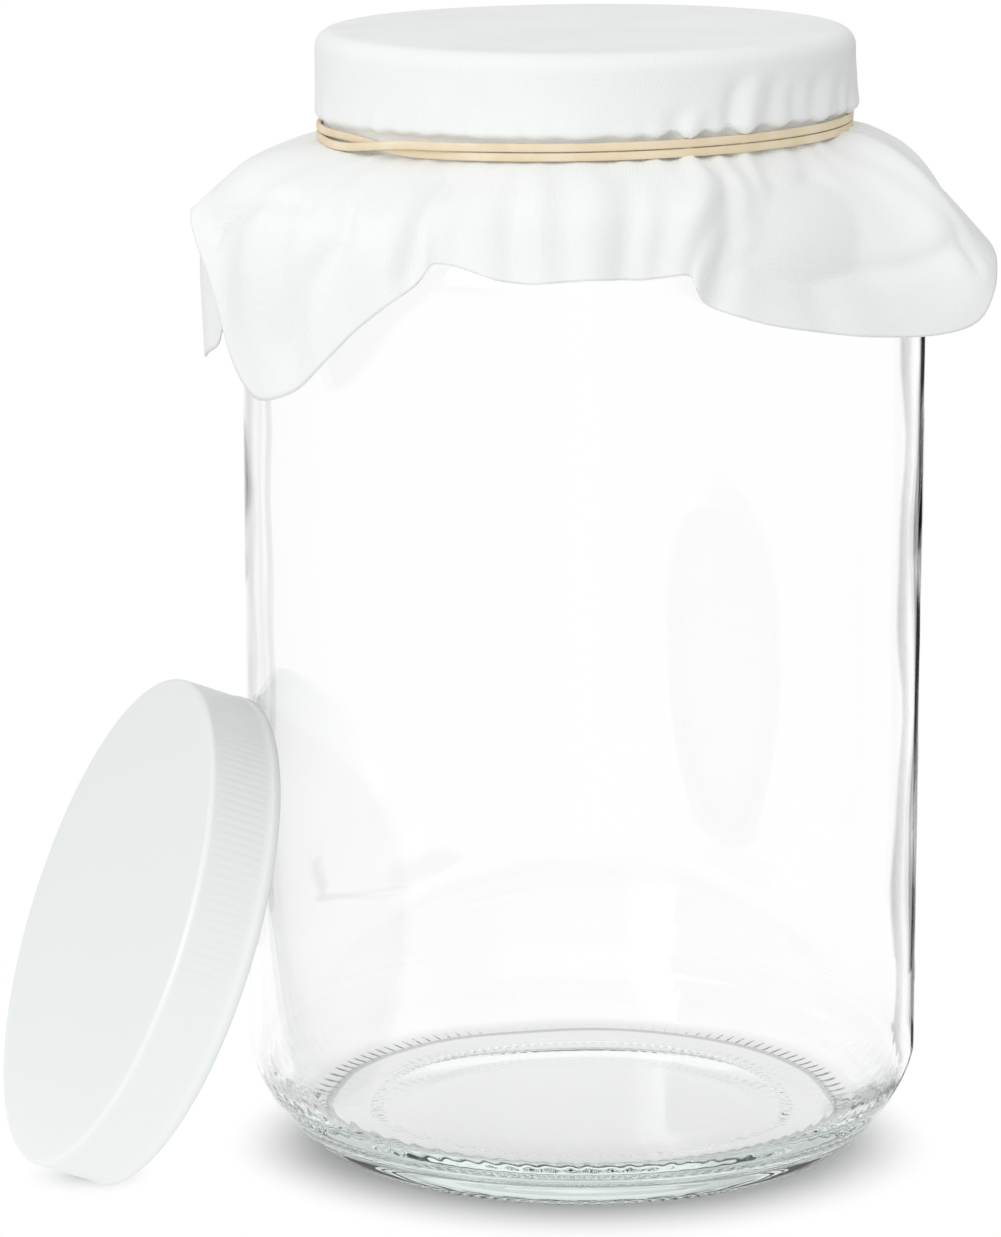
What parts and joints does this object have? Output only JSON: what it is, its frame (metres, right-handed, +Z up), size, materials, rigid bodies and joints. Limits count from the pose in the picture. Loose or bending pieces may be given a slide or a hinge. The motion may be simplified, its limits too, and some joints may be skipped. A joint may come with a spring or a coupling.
{
  "type": "kombucha brewing jar",
  "caption": "Wide-mouth glass brewing jar with a cotton cover held by a rubber band, and its ribbed screw cap leaning on the wall.",
  "frame": {"origin": "on the surface the jar stands on, under the middle of the whole set's outline; the jar's axis is 21.4 mm to the right of it and 2.8 mm behind it", "axes": "+Z up along the jar's axis, -Y towards the viewer of the picture, +X to the right, the cap on the -X side"},
  "size_m": [0.2214, 0.1708, 0.253],
  "materials": {
    "clear_glass": "clear, polished, with a faint green tint in its thick edges",
    "white_cotton": "matt, fine plain weave",
    "beige_rubber": "satin, slightly translucent",
    "white_plastic": "satin, moulded, fine ribs on the skirt",
    "liner_foam": "matt"
  },
  "bodies": {
    "jar": {"glass_jar": "clear_glass"},
    "cover": {"cloth_cover": "white_cotton"},
    "band": {"rubber_band": "beige_rubber"},
    "cap": {"screw_cap": "white_plastic", "cap_liner": "liner_foam"}
  },
  "joints": [
    {"name": "cover_lift", "type": "slide", "parent": "jar", "child": "cover", "axis": [0, 0, 1], "range_m": [0, 0.12]},
    {"name": "band_roll_off", "type": "slide", "parent": "cover", "child": "band", "axis": [0, 0, 1], "range_m": [0, 0.03], "deforming": ["rubber_band"]},
    {"name": "cap_lift", "type": "slide", "parent": "jar", "child": "cap", "axis": [-0.4753, -0.1553, 0.866], "range_m": [0, 0.15]}
  ]
}
